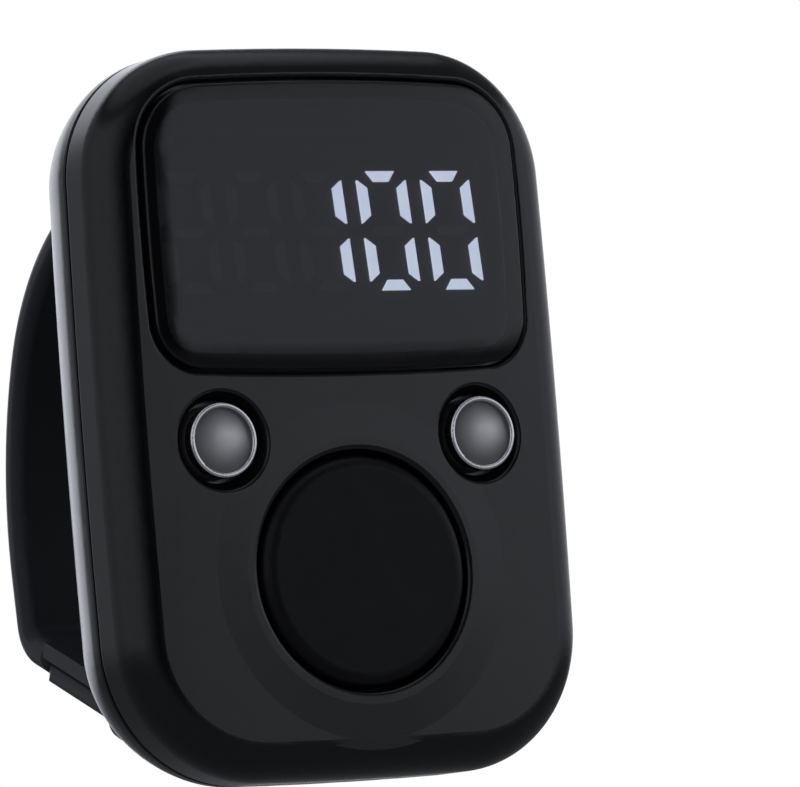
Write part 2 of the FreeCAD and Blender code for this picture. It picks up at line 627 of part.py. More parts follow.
# ---------------------------------------------------------------- display
def segment_outlines():
    """Seven strokes in a digit's own plane (across, up), each a trapezoid whose long side faces outwards."""
    half_width = DIGIT_WIDTH / 2
    half_height = DIGIT_HEIGHT / 2
    half_bar = half_width - BAR_END_GAP

    def level(way):
        outer = way * half_height
        inner = way * (half_height - STROKE)
        return [(-half_bar, outer), (half_bar, outer), (half_bar - END_SLANT, inner),
                (END_SLANT - half_bar, inner)]

    def upright(side, way):
        outer = side * half_width
        inner = side * (half_width - STROKE)
        near = way * UPRIGHT_MIDDLE_GAP
        far = way * (half_height - UPRIGHT_END_GAP)
        return [(outer, near), (outer, far), (inner, far - way * END_SLANT), (inner, near + way * END_SLANT)]

    half = MIDDLE_STROKE / 2
    reach = half_bar - half
    middle = [(-half_bar, 0), (-reach, half), (reach, half), (half_bar, 0), (reach, -half), (-reach, -half)]
    return {"a": level(1), "g": middle, "d": level(-1), "b": upright(1, 1), "f": upright(-1, 1),
            "c": upright(1, -1), "e": upright(-1, -1)}


def make_segments(lit):
    solids = []
    for index, character in enumerate(SHOWN):
        centre_x = DIGIT_CENTRE_X + (index - (DIGIT_COUNT - 1) / 2) * DIGIT_PITCH
        for name, outline in segment_outlines().items():
            if (name in SEGMENTS_LIT[character]) != lit:
                continue
            corners = [Vector(centre_x + across + up * math.tan(DIGIT_LEAN), SEGMENT_FRONT,
                              DIGIT_CENTRE_Z + up) for across, up in outline]
            face = Part.Face(Part.makePolygon(corners + corners[:1]))
            solids.append(face.extrude(Vector(0, HOUSING_FRONT - SEGMENT_FRONT, 0)))
    return Part.makeCompound(solids)


def make_display_housing():
    housing = box((-HOUSING_HALF_WIDTH, HOUSING_HALF_WIDTH), (HOUSING_FRONT, BOARD_FRONT), HOUSING_Z)
    for x, z in screw_places():
        housing = housing.cut(disc(x, z, BOSS_RADIUS + HOUSING_CLEARANCE, 0, BOARD_FRONT + THROUGH))
    return housing


def pin_places():
    return [(x, z) for x in PIN_COLUMNS for z in PIN_ROWS]


def make_display_pins():
    return Part.makeCompound([box((x - PIN_HALF, x + PIN_HALF), (BOARD_FRONT, BOARD_BACK + PIN_TAIL),
                                  (z - PIN_HALF, z + PIN_HALF)) for x, z in pin_places()])


# ---------------------------------------------------------------- circuit board
def make_circuit_board():
    board = prism(BOARD, 0, BOARD_FRONT, BOARD_BACK)
    for x, z in screw_places():
        board = board.cut(disc(x, z, BOSS_RADIUS + BOARD_CLEARANCE, 0, CASE_DEPTH))
    for x, z in pin_places():
        board = board.cut(disc(x, z, PIN_HOLE_RADIUS, 0, CASE_DEPTH))
    return board


def make_microcontroller():
    front = BOARD_FRONT - CHIP_STANDOFF - CHIP_THICKNESS
    body = box((-CHIP_HALF, CHIP_HALF), (front, BOARD_FRONT - CHIP_STANDOFF),
               (CHIP_Z - CHIP_HALF, CHIP_Z + CHIP_HALF))
    dot_radius, dot_inset, dot_depth = CHIP_DOT
    corner = CHIP_HALF - dot_inset
    body = body.cut(disc(-corner, CHIP_Z + corner, dot_radius, front - THROUGH, front + dot_depth))
    length, width, thickness = CHIP_LEG
    legs = []
    for step in range(CHIP_LEGS_PER_SIDE):
        z = CHIP_Z + (step - (CHIP_LEGS_PER_SIDE - 1) / 2) * CHIP_LEG_PITCH
        for side in (-1, 1):
            x = sorted((side * (CHIP_HALF - OVERLAP), side * (CHIP_HALF + length)))
            legs.append(box(x, (BOARD_FRONT - thickness, BOARD_FRONT), (z - width / 2, z + width / 2)))
    return body.fuse(legs)


def make_crystal():
    span_x, height, span_z = CRYSTAL
    can = box(span_x, (BOARD_FRONT - height, BOARD_FRONT), span_z)
    return rounded(can, CRYSTAL_RADIUS, edges_at(can, lambda edge: edge.BoundBox.YLength > height / 2))


def make_passives():
    """Small ceramic parts: a grid of them low on the board and two on each side of the chip."""
    first_x, pitch_x, columns, first_z, pitch_z, rows = PASSIVE_GRID
    beside_x, beside_z = PASSIVE_BESIDE_CHIP
    places = [(first_x + pitch_x * column, first_z + pitch_z * row)
              for column in range(columns) for row in range(rows)]
    places += [(side * beside_x, CHIP_Z + beside_z * step) for side in (-1, 1) for step in (-1, 1)]
    length, height, width = PASSIVE
    return Part.makeCompound([box((x - length / 2, x + length / 2), (BOARD_FRONT - height, BOARD_FRONT),
                                  (z - width / 2, z + width / 2)) for x, z in places])


# ---------------------------------------------------------------- battery
def make_coin_cell():
    can_front = CELL_FRONT + CELL_CAP_HEIGHT
    can = disc(0, 0, CELL_RADIUS, can_front, CELL_BACK)
    can = rounded(can, CELL_EDGE_RADIUS, edges_at(can, lambda edge: flat_at(edge, CELL_BACK)))
    return can.fuse(disc(0, 0, CELL_RADIUS - CELL_CAP_INSET, CELL_FRONT, can_front))


def make_battery_minus_contact():
    """A bowed spring strip between the board and the cell's cap."""
    half_width, crest_half, slope_half, foot_half = MINUS_CONTACT
    foot = BOARD_BACK + CONTACT_SKIN
    crest = CELL_FRONT - CONTACT_PRELOAD
    upper = [(foot, -foot_half), (foot, -slope_half), (crest, -crest_half),
             (crest, crest_half), (foot, slope_half), (foot, foot_half)]
    lower = [(y - CONTACT_SKIN, z) for y, z in reversed(upper)]
    return polygon_prism(upper + lower, half_width)


def make_battery_plus_contact():
    """An upright blade beside the cell, on a foot soldered to the board."""
    inner = CELL_RADIUS + CONTACT_GAP
    width = (-PLUS_CONTACT_HALF, PLUS_CONTACT_HALF)
    foot = box((inner, inner + PLUS_CONTACT_FOOT), (BOARD_BACK, BOARD_BACK + CONTACT_SKIN), width)
    blade = box((inner, inner + CONTACT_SKIN), (BOARD_BACK, CELL_BACK - PLUS_CONTACT_SHORT), width)
    return foot.fuse(blade).removeSplitter()


def make_battery_door():
    """A flat round door with a hollow plug, three bayonet tabs and a slot for a coin."""
    back = CASE_DEPTH - DOOR_SINK
    door = disc(0, 0, DOOR_FLANGE_RADIUS, DOOR_FLANGE_FRONT, back)
    door = rounded(door, DOOR_EDGE_RADIUS, edges_at(door, lambda edge: flat_at(edge, back)))
    plug = disc(0, 0, DOOR_PLUG_RADIUS, DOOR_PLUG_FRONT, DOOR_FLANGE_FRONT)
    tabs = [bayonet_sector(BAYONET_RADIUS, DOOR_PLUG_FRONT, BAYONET_BACK, angle, BAYONET_SWEEP)
            for angle in bayonet_angles()]
    door = door.fuse([plug] + tabs)
    door = door.cut(disc(0, 0, DOOR_PLUG_RADIUS - DOOR_PLUG_WALL, DOOR_PLUG_FRONT - THROUGH,
                         DOOR_FLANGE_FRONT - DOOR_FLOOR))
    half_length, half_width, depth = COIN_SLOT
    coin_slot = box((-half_length, half_length), (back - depth, back + THROUGH), (-half_width, half_width))
    return door.cut(coin_slot).removeSplitter()


# ---------------------------------------------------------------- finger strap
def outward_of(direction):
    """The path runs clockwise round the finger, so the outside is on its left."""
    return Vector(0, -direction.z, direction.y)


RUN_HOMEWARD = Vector(0, -math.cos(RUN_SLOPE), -math.sin(RUN_SLOPE))    # along the lower run, to the case
RUN_OUTWARD = outward_of(RUN_HOMEWARD)


def run_point(reach, offset):
    """A point on the strap's lower run: reach along it from the lower pin, offset away from the finger."""
    return Vector(0, PIN_Y, LOWER_PIN_Z) - RUN_HOMEWARD * reach + RUN_OUTWARD * offset


def run_along(far_reach, near_reach):
    """One straight stretch of the lower run, in rounded_path's form."""
    return run_point(far_reach, 0), run_point(near_reach, 0), None, RUN_OUTWARD, RUN_OUTWARD


def rounded_path(corners, radii):
    """Straight runs joined by tangent arcs: a list of (start, end, arc centre or None, outward normals)."""
    runs = []
    start = corners[0]
    for index, radius in enumerate(radii, start=1):
        before = (corners[index] - corners[index - 1]).normalize()
        after = (corners[index + 1] - corners[index]).normalize()
        tangent = radius * math.tan(before.getAngle(after) / 2)
        arc_start = corners[index] - before * tangent
        arc_end = corners[index] + after * tangent
        runs.append((start, arc_start, None, outward_of(before), outward_of(before)))
        centre = arc_start - outward_of(before) * radius
        runs.append((arc_start, arc_end, centre, outward_of(before), outward_of(after)))
        start = arc_end
    last = (corners[-1] - start).normalize()
    runs.append((start, corners[-1], None, outward_of(last), outward_of(last)))
    return runs


def offset_edge(run, distance):
    start, end, centre, start_out, end_out = run
    first = start + start_out * distance
    second = end + end_out * distance
    if centre is None:
        return Part.LineSegment(first, second).toShape()
    reach = (first - centre).Length
    middle = centre + (start_out + end_out).normalize() * reach
    return Part.Arc(first, middle, second).toShape()


def band(runs, inner, outer, half_width):
    """A flat band swept along a path: its section lies between two offsets from the path."""
    skin = [offset_edge(run, outer) for run in runs]
    lining = [offset_edge(run, inner) for run in runs]
    ends = [Part.LineSegment(skin[0].firstVertex().Point, lining[0].firstVertex().Point).toShape(),
            Part.LineSegment(skin[-1].lastVertex().Point, lining[-1].lastVertex().Point).toShape()]
    wire = Part.Wire(Part.__sortEdges__(skin + lining + ends))
    face = Part.Face(wire)
    face.translate(Vector(-half_width, 0, 0))
    return face.extrude(Vector(2 * half_width, 0, 0))


def soften(strip, half_width, radius):
    """Round a band's long edges."""
    long_edges = edges_at(strip, lambda edge: edge.BoundBox.XLength < CLOSE
                          and abs(abs(edge.BoundBox.XMin) - half_width) < CLOSE)
    return rounded(strip, radius, long_edges)


def slot(centre, direction, depth):
    """An oval cutter through the strap at a point, long along the strap's own direction."""
    normal = outward_of(direction)
    base = centre - normal * (depth / 2)
    far = base + direction * SLOT_STRETCH
    ends = [Part.makeCylinder(SLOT_WIDTH / 2, depth, place, normal) for place in (base, far)]
    side = Vector(1, 0, 0) * (SLOT_WIDTH / 2)
    corners = [base + side, far + side, far - side, base - side]
    middle = Part.Face(Part.makePolygon(corners + corners[:1])).extrude(normal * depth)
    return ends[0].fuse([middle, ends[1]])


def eye(pin_z):
    tube = crossbar(PIN_Y, pin_z, EYE_RADIUS, STRAP_WIDTH / 2)
    return rounded(tube, EYE_EDGE_RADIUS, edges_at(tube, lambda edge: edge.BoundBox.XLength < CLOSE))


def long_band_corners():
    lower_offset = TAIL_OFFSETS[0] + STRAP_THICKNESS / 2
    return [Vector(0, PIN_Y, UPPER_PIN_Z), SHOULDER_BEND, BACK_BEND,
            run_point(RUN_CORNER, lower_offset), run_point(SHOULDER, lower_offset)]


def make_long_band():
    runs = rounded_path(long_band_corners(), LONG_BAND_RADII)
    half = STRAP_WIDTH / 2
    strip = soften(band(runs, -STRAP_THICKNESS / 2, STRAP_THICKNESS / 2, half), half, STRAP_EDGE_RADIUS)
    tail = band([run_along(SHOULDER + TAIL_OVERLAP, TAIL_START)], *TAIL_OFFSETS, half)
    strap = strip.fuse([tail, eye(UPPER_PIN_Z)])
    strap = strap.cut(crossbar(PIN_Y, UPPER_PIN_Z, PIN_RADIUS + EYE_CLEARANCE, STRAP_WIDTH))
    strap = strap.cut(slot(run_point(STUD_REACH, 0), RUN_HOMEWARD, TAIL_SLOT_DEPTH))
    for z in SPARE_SLOT_Z:
        strap = strap.cut(slot(Vector(0, BACK_BEND.y, z), Vector(0, 0, -1), BACK_SLOT_DEPTH))
    return strap.removeSplitter()


def make_short_band():
    half = STRAP_WIDTH / 2
    strip = band([run_along(SHORT_BAND_REACH, 0)], *SHORT_BAND_OFFSETS, half)
    strip = soften(strip, half, SHORT_BAND_EDGE_RADIUS)
    strap = strip.fuse(eye(LOWER_PIN_Z))
    strap = strap.cut(crossbar(PIN_Y, LOWER_PIN_Z, PIN_RADIUS + EYE_CLEARANCE, STRAP_WIDTH))
    sink_floor = run_point(STUD_REACH, stud_head_offset())
    sink = Part.makeCylinder(STUD_HEAD_RADIUS, STRAP_THICKNESS, sink_floor, RUN_OUTWARD)
    hole_start = run_point(STUD_REACH, SHORT_BAND_OFFSETS[0] - STRAP_THICKNESS)
    hole = Part.makeCylinder(STUD_RADIUS, STRAP_THICKNESS * 2, hole_start, RUN_OUTWARD)
    return strap.cut(sink).cut(hole).removeSplitter()


def stud_head_offset():
    return SHORT_BAND_OFFSETS[1] - STUD_HEAD_SINK


def make_strap_stud():
    inner_end = TAIL_OFFSETS[0] - STUD_PROUD
    length = stud_head_offset() - inner_end
    shank = Part.makeCylinder(STUD_RADIUS, length, run_point(STUD_REACH, inner_end), RUN_OUTWARD)
    tip = edges_at(shank, lambda edge: edge.BoundBox.ZMin > shank.BoundBox.Center.z)
    shank = rounded(shank, STUD_TIP_RADIUS, tip)
    head_start = run_point(STUD_REACH, stud_head_offset())
    head = Part.makeCylinder(STUD_HEAD_RADIUS, STUD_HEAD_THICKNESS, head_start, RUN_OUTWARD)
    return shank.fuse(head).removeSplitter()


def make_strap_pin(pin_z):
    pin = crossbar(PIN_Y, pin_z, PIN_RADIUS, pin_half_length() - PIN_END_PLAY)
    return rounded(pin, PIN_END_RADIUS, edges_at(pin, lambda edge: edge.BoundBox.XLength < CLOSE))


# ---------------------------------------------------------------- export
def switch_pieces(name, switch, x, z):
    return {name + "_switch_base": make_switch_base(switch, x, z),
            name + "_switch_cover": make_switch_cover(switch, x, z),
            name + "_switch_dome": make_switch_dome(switch, x, z),
            name + "_switch_plunger": make_switch_plunger(switch, x, z)}


def build():
    pieces = {
        "front_shell": make_front_shell(),
        "rear_cover": make_rear_cover(),
        "case_screws": make_case_screws(),
        "display_window": make_window(),
        "window_adhesive": make_window_adhesive(),
        "display_housing": make_display_housing(),
        "display_pins": make_display_pins(),
        "lit_segments": make_segments(True),
        "unlit_segments": make_segments(False),
        "circuit_board": make_circuit_board(),
        "microcontroller": make_microcontroller(),
        "crystal": make_crystal(),
        "passives": make_passives(),
        "count_button": make_count_button(),
        "coin_cell": make_coin_cell(),
        "battery_minus_contact": make_battery_minus_contact(),
        "battery_plus_contact": make_battery_plus_contact(),
        "battery_door": make_battery_door(),
        "strap_long_band": make_long_band(),
        "strap_short_band": make_short_band(),
        "strap_stud": make_strap_stud(),
        "upper_strap_pin": make_strap_pin(UPPER_PIN_Z),
        "lower_strap_pin": make_strap_pin(LOWER_PIN_Z),
    }
    pieces.update(switch_pieces("count", COUNT_SWITCH, 0, COUNT_Z))
    for name, x in (("left", -SIDE_X), ("right", SIDE_X)):
        pieces[name + "_button"] = make_side_button(x)
        pieces[name + "_button_ring"] = make_side_ring(x)
        pieces.update(switch_pieces(name, SIDE_SWITCH, x, SIDE_Z))
    return pieces


def main():
    os.makedirs("parts", exist_ok=True)
    pieces = build()
    strap_back = pieces["strap_long_band"].optimalBoundingBox().YMax
    shift = (WINDOW_PROUD - strap_back) / 2
    print("shift along Y:", round(shift, 4), "whole depth:", round(strap_back + WINDOW_PROUD, 3))
    for name, shape in pieces.items():
        shape.translate(Vector(0, shift, 0))
        solids = len(shape.Solids)
        print(name, "valid" if shape.isValid() else "INVALID", solids, "solids", round(shape.Volume, 2))
        shape.exportStep("parts/" + name + ".step")


main()
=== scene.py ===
"""The looks of a finger-worn electronic tally counter: its finishes, light and camera.

Everything is in metres in the model's own frame: +X to the right of someone facing the display,
+Z up, and the display looks along -Y. The strap makes its loop behind the case, along +Y.
"""
import math

import bpy
from mathutils import Matrix, Vector


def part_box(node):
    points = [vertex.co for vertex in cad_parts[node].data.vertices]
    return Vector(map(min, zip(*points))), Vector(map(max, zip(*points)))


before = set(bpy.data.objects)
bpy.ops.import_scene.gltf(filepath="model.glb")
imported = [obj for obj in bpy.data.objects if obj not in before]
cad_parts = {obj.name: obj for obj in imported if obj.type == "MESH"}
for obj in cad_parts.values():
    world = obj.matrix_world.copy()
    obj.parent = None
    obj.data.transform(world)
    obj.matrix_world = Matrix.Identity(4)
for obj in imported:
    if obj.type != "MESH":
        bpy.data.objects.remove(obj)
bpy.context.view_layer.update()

MM = 0.001
SHELL_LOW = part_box("front_shell")[0]
FRONT_CROWN = Vector((0.0, SHELL_LOW.y, 0.0))


# ---------------------------------------------------------------- node trees
class Finish:
    """A material with a Principled shader, and short calls for the nodes that the finishes share."""

    def __init__(self, name, colour=(0.5, 0.5, 0.5), roughness=0.5, **sockets):
        self.material = bpy.data.materials.new(name)
        self.material.use_nodes = True
        self.tree = self.material.node_tree
        self.shader = self.tree.nodes["Principled BSDF"]
        self.place = self.tree.nodes.new("ShaderNodeTexCoord").outputs["Object"]
        self.set("Base Color", (*colour, 1.0))
        self.set("Roughness", roughness)
        for socket, value in sockets.items():
            self.set(socket.replace("_", " "), value)

    def set(self, socket, value):
        self.shader.inputs[socket].default_value = value

    def node(self, kind, **settings):
        node = self.tree.nodes.new("ShaderNode" + kind)
        for name, value in settings.items():
            setattr(node, name, value)
        return node

    def feed(self, node, socket, value):
        """Puts a number, a colour or another node's output into a socket."""
        target = node.inputs[socket]
        if isinstance(value, bpy.types.NodeSocket):
            self.tree.links.new(value, target)
        else:
            target.default_value = value

    def stretched(self, scale):
        mapping = self.node("Mapping")
        self.feed(mapping, "Vector", self.place)
        mapping.inputs["Scale"].default_value = scale
        return mapping.outputs["Vector"]

    def noise(self, size_mm, detail=2.0, roughness=0.5, stretch=None):
        """Soft noise about 0.5, whose blobs are about size_mm across."""
        noise = self.node("TexNoise")
        where = self.stretched(stretch) if stretch else self.place
        self.feed(noise, "Vector", where)
        self.feed(noise, "Scale", 1.0 / (size_mm * MM))
        self.feed(noise, "Detail", detail)
        self.feed(noise, "Roughness", roughness)
        return noise.outputs["Fac"]

    def between(self, value, low, high, out_low=0.0, out_high=1.0, smooth=False):
        """Maps low..high of value to out_low..out_high, and holds it there outside."""
        kind = "SMOOTHSTEP" if smooth else "LINEAR"
        ranged = self.node("MapRange", interpolation_type=kind)
        self.feed(ranged, "Value", value)
        limits = {"From Min": low, "From Max": high, "To Min": out_low, "To Max": out_high}
        for socket, number in limits.items():
            self.feed(ranged, socket, number)
        return ranged.outputs["Result"]

    def math(self, operation, first, second=0.0):
        node = self.node("Math", operation=operation)
        self.feed(node, 0, first)
        self.feed(node, 1, second)
        return node.outputs[0]

    def along(self, axis):
        split = self.node("SeparateXYZ")
        self.feed(split, 0, self.place)
        return split.outputs[axis]

    def mixed(self, share, first, second):
        """The colour between first (share 0) and second (share 1)."""
        mix = self.node("Mix", data_type="RGBA")
        self.feed(mix, 0, share)
        self.feed(mix, 6, first if isinstance(first, bpy.types.NodeSocket) else (*first, 1.0))
        self.feed(mix, 7, second if isinstance(second, bpy.types.NodeSocket) else (*second, 1.0))
        return mix.outputs[2]

    def colour(self, value):
        self.tree.links.new(value, self.shader.inputs["Base Color"])

    def gloss(self, value):
        self.tree.links.new(value, self.shader.inputs["Roughness"])

    def relief(self, height, height_mm, strength=1.0):
        """Raises the surface by height (0 to 1) times height_mm, on top of any relief already there."""
        bump = self.node("Bump")
        self.feed(bump, "Height", height)
        self.feed(bump, "Distance", height_mm * MM)
        self.feed(bump, "Strength", strength)
        normal = self.shader.inputs["Normal"]
        if normal.links:
            self.tree.links.new(normal.links[0].from_socket, bump.inputs["Normal"])
        self.tree.links.new(bump.outputs["Normal"], normal)


def moulded(name, colour, roughness, grain_mm=0.09, grain_depth=0.004, mottle=0.12, **sockets):
    """Injection-moulded plastic: an eroded grain, a little flow mottling and uneven gloss."""
    finish = Finish(name, colour, roughness, **sockets)
    flow = finish.noise(3.5, 3.0)
    lighter = tuple(c * (1 + mottle) for c in colour)
    darker = tuple(c * (1 - mottle) for c in colour)
    finish.colour(finish.mixed(flow, darker, lighter))
    handling = finish.noise(1.3, 4.0, 0.6)
    finish.gloss(finish.between(handling, 0.3, 0.7, roughness * 0.92, roughness * 1.08))
    finish.relief(finish.noise(grain_mm, 2.0, 0.6), grain_depth)
    return finish.material


def metal(name, colour, roughness, brush=(1.0, 1.0, 1.0), brush_mm=0.2, depth=0.002):
    """Bare or plated metal with fine tool marks that run across the stretched axis."""
    finish = Finish(name, colour, roughness, Metallic=1.0)
    marks = finish.noise(brush_mm, 3.0, 0.6, stretch=brush)
    finish.gloss(finish.between(marks, 0.25, 0.75, roughness * 0.8, roughness * 1.25))
    tarnish = finish.noise(1.1, 2.0)
    duller = tuple(c * 0.86 for c in colour)
    finish.colour(finish.mixed(tarnish, duller, colour))
    finish.relief(marks, depth)
    return finish.material


KEY_PAINTED_HIGHLIGHT_MM = 0.3     # painted highlight: the key's colour is brightest inside this radius
KEY_PAINTED_SHADE_MM = 1.8       # and painted shade: darkest outside this one


def grey_key():
    """Satin silver paint on a small key, with painted shading: a painted highlight at the key's centre that
    darkens to painted shade towards its rim.
    """
    finish = Finish("grey_key_plastic", (0.5, 0.5, 0.5), 0.42, Metallic=0.5)
    low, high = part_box("right_button")
    middle = (low + high) / 2
    across = finish.math("SUBTRACT", finish.math("ABSOLUTE", finish.along(0)), middle.x)
    up = finish.math("SUBTRACT", finish.along(2), middle.z)
    squares = [finish.math("MULTIPLY", leg, leg) for leg in (across, up)]
    radius = finish.math("SQRT", finish.math("ADD", *squares))
    # painted shade and highlight: the colour fades from a bright centre to a dark rim by distance from the
    # key's middle
    painted_shade_share = finish.between(radius, KEY_PAINTED_HIGHLIGHT_MM * MM, KEY_PAINTED_SHADE_MM * MM, smooth=True)
    finish.colour(finish.mixed(painted_shade_share, (0.78, 0.78, 0.78), (0.26, 0.26, 0.265)))
    finish.gloss(finish.between(finish.noise(0.6, 3.0), 0.3, 0.7, 0.38, 0.46))
    finish.relief(finish.noise(0.05, 2.0, 0.6), 0.0008)
    return finish.material


def smoked_glass():
    finish = Finish("smoked_window", (0.15, 0.158, 0.172), 0.06)
    finish.set("Transmission Weight", 0.94)
    finish.set("IOR", 1.44)
    smears = finish.noise(4.0, 3.0, 0.6)
    finish.gloss(finish.between(smears, 0.35, 0.75, 0.04, 0.11))
    return finish.material


def lit_segment():
    finish = Finish("lit_segment", (0.8, 0.82, 0.85), 0.5)
    glow = finish.noise(1.4, 1.0)
    finish.tree.links.new(
        finish.mixed(glow, (0.70, 0.79, 1.0), (0.90, 0.94, 1.0)), finish.shader.inputs["Emission Color"]
    )
    finish.set("Emission Strength", 4.6)
    return finish.material


def dark_segment():
    finish = Finish("dark_segment", (0.10, 0.105, 0.10), 0.45)
    glow = finish.noise(1.4, 1.0)
    finish.colour(finish.mixed(glow, (0.075, 0.08, 0.078), (0.12, 0.125, 0.12)))
    # painted light: a faint glow stands in for the light that the unlit segments would bounce back through
    # the window
    finish.set("Emission Color", (0.8, 0.9, 0.85, 1.0))
    finish.set("Emission Strength", 0.02)
    return finish.material


CASE = moulded("case_plastic", (0.005, 0.0053, 0.006), 0.18)
COVER = moulded("cover_plastic", (0.005, 0.0053, 0.006), 0.20)
COUNT_KEY = moulded(
    "count_key_plastic", (0.007, 0.0073, 0.0085), 0.40,
    grain_mm=0.06, grain_depth=0.002, Specular_IOR_Level=0.2
)
GREY_KEY = grey_key()
STRAP = moulded(
    "strap_silicone", (0.034, 0.0355, 0.040), 0.42, grain_mm=0.12, grain_depth=0.003, Specular_IOR_Level=0.2
)
SWITCH = moulded("switch_plastic", (0.02, 0.02, 0.022), 0.5)
PLUNGER = moulded("plunger_plastic", (0.35, 0.33, 0.30), 0.45)
HOUSING = moulded("display_plastic", (0.012, 0.012, 0.013), 0.6)
ADHESIVE = moulded("adhesive", (0.02, 0.02, 0.02), 0.8, grain_mm=0.2, grain_depth=0.01)
EPOXY = moulded("chip_epoxy", (0.02, 0.02, 0.022), 0.55)
CERAMIC = moulded("chip_ceramic", (0.30, 0.22, 0.15), 0.5)
BOARD = moulded("board_laminate", (0.01, 0.09, 0.035), 0.3, grain_mm=0.25, grain_depth=0.002)
CHROME = metal("ring_chrome", (0.88, 0.88, 0.89), 0.24)
STEEL = metal("pin_steel", (0.55, 0.55, 0.56), 0.3, brush=(0.05, 1.0, 1.0))
SCREW = metal("screw_steel", (0.50, 0.50, 0.52), 0.3)
CELL = metal("cell_steel", (0.62, 0.62, 0.63), 0.24, brush=(0.08, 1.0, 1.0))
SPRING = metal("contact_spring", (0.70, 0.58, 0.38), 0.28)
TIN = metal("tinned_wire", (0.68, 0.68, 0.69), 0.35)
CAN = metal("can_metal", (0.60, 0.60, 0.61), 0.3)
GLASS = smoked_glass()
LIT = lit_segment()
DARK = dark_segment()

FINISH_OF = {
    "front_shell": CASE,
    "rear_cover": COVER,
    "battery_door": COVER,
    "case_screws": SCREW,
    "display_window": GLASS,
    "window_adhesive": ADHESIVE,
    "display_housing": HOUSING,
    "display_pins": TIN,
    "lit_segments": LIT,
    "unlit_segments": DARK,
    "circuit_board": BOARD,
    "microcontroller": EPOXY,
    "crystal": CAN,
    "passives": CERAMIC,
    "count_button": COUNT_KEY,
    "coin_cell": CELL,
    "battery_minus_contact": SPRING,
    "battery_plus_contact": SPRING,
    "strap_long_band": STRAP,
    "strap_short_band": STRAP,
    "strap_stud": COVER,
    "upper_strap_pin": STEEL,
    "lower_strap_pin": STEEL,
}
for key in ("count", "left", "right"):
    FINISH_OF[f"{key}_switch_base"] = SWITCH
    FINISH_OF[f"{key}_switch_cover"] = CAN
    FINISH_OF[f"{key}_switch_dome"] = SPRING
    FINISH_OF[f"{key}_switch_plunger"] = PLUNGER
for side in ("left", "right"):
    FINISH_OF[f"{side}_button"] = GREY_KEY
    FINISH_OF[f"{side}_button_ring"] = CHROME


def dress(node, material):
    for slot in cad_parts[node].material_slots:
        slot.material = material


for node_name, material in FINISH_OF.items():
    dress(node_name, material)


# ---------------------------------------------------------------- room, light and camera
FLOOR_DROP = 14.5 * MM      # the object is held up in the air, this far above the floor
FLOOR_SIZE = 6.0
FLOOR_GLOW = 0.35

VIEW_AZIMUTH = -31.30
VIEW_ELEVATION = -5.14
VIEW_ROLL = -4.52
VIEW_DISTANCE = 381.0 * MM
VIEW_AIM = FRONT_CROWN + Vector((2.26, -1.44, 0.59)) * MM
LENS_MM = 301.6
SENSOR_MM = 36.0


def direction(azimuth, elevation):
    """From the object towards a place round it: azimuth 0 is in front of the display, -90 its left."""
    a, e = math.radians(azimuth), math.radians(elevation)
    return Vector((math.sin(a) * math.cos(e), -math.cos(a) * math.cos(e), math.sin(e)))


def facing(place, aim, roll=0.0):
    """Puts something at place, looking at aim along its own -Z, turned clockwise by roll degrees."""
    turned = (aim - place).to_track_quat("-Z", "Y").to_matrix().to_4x4()
    return Matrix.Translation(place) @ turned @ Matrix.Rotation(math.radians(roll), 4, "Z")


def make_camera():
    camera = bpy.data.objects.new("camera", bpy.data.cameras.new("camera"))
    camera.data.lens = LENS_MM
    camera.data.sensor_width = SENSOR_MM
    camera.data.clip_start = 0.01
    camera.data.clip_end = 20.0
    place = VIEW_AIM + direction(VIEW_AZIMUTH, VIEW_ELEVATION) * VIEW_DISTANCE
    camera.matrix_world = facing(place, VIEW_AIM, VIEW_ROLL)
    bpy.context.scene.collection.objects.link(camera)
    bpy.context.scene.camera = camera


def make_floor():
    material = Finish("floor", (0.76, 0.76, 0.76), 0.7)
    material.set("Emission Color", (0.97, 0.98, 1.0, 1.0))
    material.set("Emission Strength", FLOOR_GLOW)
    material.colour(material.mixed(material.noise(60.0), (0.74, 0.74, 0.74), (0.78, 0.78, 0.78)))
    half = FLOOR_SIZE / 2
    mesh = bpy.data.meshes.new("floor")
    level = SHELL_LOW.z - FLOOR_DROP
    corners = [(-half, -half, level), (half, -half, level), (half, half, level), (-half, half, level)]
    mesh.from_pydata(corners, [], [(0, 1, 2, 3)])
    mesh.materials.append(material.material)
    floor = bpy.data.objects.new("floor", mesh)
    floor.visible_glossy = False
    floor.visible_diffuse = False
    bpy.context.scene.collection.objects.link(floor)


def sector(left, right, level, soft_left=4.0, soft_right=4.0, low=-90.0, high=90.0, soft_ends=12.0):
    """One patch of the room's light: between two azimuths and two elevations, with soft edges (degrees)."""
    return {"left": left, "right": right, "level": level, "soft_left": soft_left, "soft_right": soft_right,
            "low": low, "high": high, "soft_ends": soft_ends}


ROOM_LIGHT = [
    sector(14.7, 152.0, 0.57, soft_left=3.0, soft_right=8.0, low=-0.5, high=21.5, soft_ends=5.5),
    sector(42.0, 58.0, 0.15, soft_left=8.0, soft_right=8.0, low=-0.5, high=21.5, soft_ends=5.5),
    sector(14.7, 152.0, 0.13, soft_left=3.0, low=-3.0, high=70.0, soft_ends=7.0),
    sector(150.0, 199.0, 1.25, soft_left=6.0, soft_right=7.0, low=-2.0, high=45.0, soft_ends=6.0),
    sector(-112.0, -27.0, 0.54, soft_left=22.0, soft_right=30.0, low=-4.0, high=45.0, soft_ends=8.0),
    sector(-157.0, -112.0, 0.33, soft_left=6.0, soft_right=22.0, low=-4.0, high=45.0, soft_ends=8.0),
]
ROOM_DARK = 0.01
CEILING = 0.45
CEILING_REACH = (0.72, 0.9)     # sines of the elevations between which the ceiling's light rises
BELOW = 0.14
BELOW_REACH = (0.0, 0.2)        # the same for the light from below, measured downwards


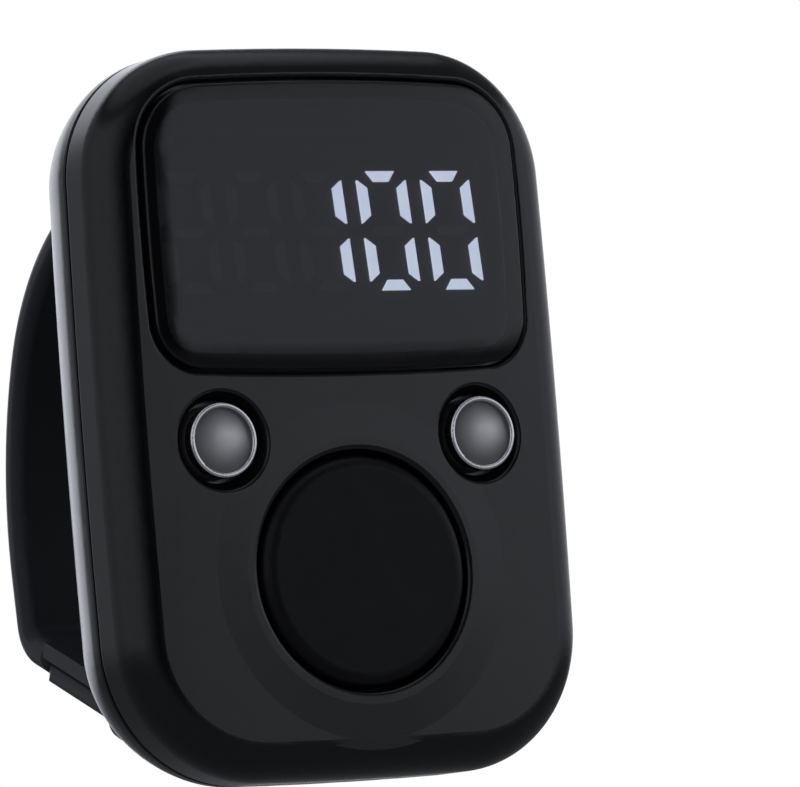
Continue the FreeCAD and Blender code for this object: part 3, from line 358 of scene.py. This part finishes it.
class Room:
    """The room as a world shader: white where the camera sees it, soft patches where it lights the object."""

    def __init__(self):
        world = bpy.data.worlds.new("room")
        world.use_nodes = True
        bpy.context.scene.world = world
        self.tree = world.node_tree
        self.tree.nodes.clear()
        self.way = self.tree.nodes.new("ShaderNodeTexCoord").outputs["Generated"]

    def math(self, operation, first, second):
        node = self.tree.nodes.new("ShaderNodeMath")
        node.operation = operation
        for socket, value in ((0, first), (1, second)):
            if isinstance(value, bpy.types.NodeSocket):
                self.tree.links.new(value, node.inputs[socket])
            else:
                node.inputs[socket].default_value = value
        return node.outputs[0]

    def ramp(self, towards, low, high):
        """0 to 1 as the way looked gets closer to a direction; low and high are sines of angles."""
        dot = self.tree.nodes.new("ShaderNodeVectorMath")
        dot.operation = "DOT_PRODUCT"
        self.tree.links.new(self.way, dot.inputs[0])
        dot.inputs[1].default_value = towards
        ranged = self.tree.nodes.new("ShaderNodeMapRange")
        ranged.interpolation_type = "SMOOTHSTEP"
        self.tree.links.new(dot.outputs["Value"], ranged.inputs["Value"])
        ranged.inputs["From Min"].default_value = low
        ranged.inputs["From Max"].default_value = high
        return ranged.outputs["Result"]

    def edge(self, azimuth, soft, side):
        reach = math.sin(math.radians(soft))
        return self.ramp(direction(azimuth + 90.0 * side, 0.0), -reach, reach)

    def patch(self, light):
        inside = self.math("MULTIPLY", self.edge(light["left"], light["soft_left"], 1),
                           self.edge(light["right"], light["soft_right"], -1))
        for bound, way in ((light["low"], 1.0), (-light["high"], -1.0)):
            if bound > -90.0:
                rise = self.ramp(Vector((0.0, 0.0, way)), math.sin(math.radians(bound - light["soft_ends"])),
                                 math.sin(math.radians(bound + light["soft_ends"])))
                inside = self.math("MULTIPLY", inside, rise)
        return self.math("MULTIPLY", inside, light["level"])

    def finish(self, strength):
        seen = self.tree.nodes.new("ShaderNodeBackground")
        seen.inputs["Color"].default_value = (1.0, 1.0, 1.0, 1.0)
        fill = self.tree.nodes.new("ShaderNodeBackground")
        fill.inputs["Color"].default_value = (0.93, 0.96, 1.05, 1.0)
        self.tree.links.new(strength, fill.inputs["Strength"])
        ray = self.tree.nodes.new("ShaderNodeLightPath")
        mix = self.tree.nodes.new("ShaderNodeMixShader")
        out = self.tree.nodes.new("ShaderNodeOutputWorld")
        self.tree.links.new(ray.outputs["Is Camera Ray"], mix.inputs[0])
        self.tree.links.new(fill.outputs[0], mix.inputs[1])
        self.tree.links.new(seen.outputs[0], mix.inputs[2])
        self.tree.links.new(mix.outputs[0], out.inputs["Surface"])


def make_room():
    room = Room()
    strength = ROOM_DARK
    for light in ROOM_LIGHT:
        strength = room.math("ADD", room.patch(light), strength)
    overhead = room.ramp(Vector((0.0, 0.0, 1.0)), *CEILING_REACH)
    strength = room.math("ADD", room.math("MULTIPLY", overhead, CEILING), strength)
    below = room.ramp(Vector((0.0, 0.0, -1.0)), *BELOW_REACH)
    room.finish(room.math("ADD", room.math("MULTIPLY", below, BELOW), strength))
    bpy.context.scene.view_settings.view_transform = "Standard"


make_camera()
make_floor()
make_room()
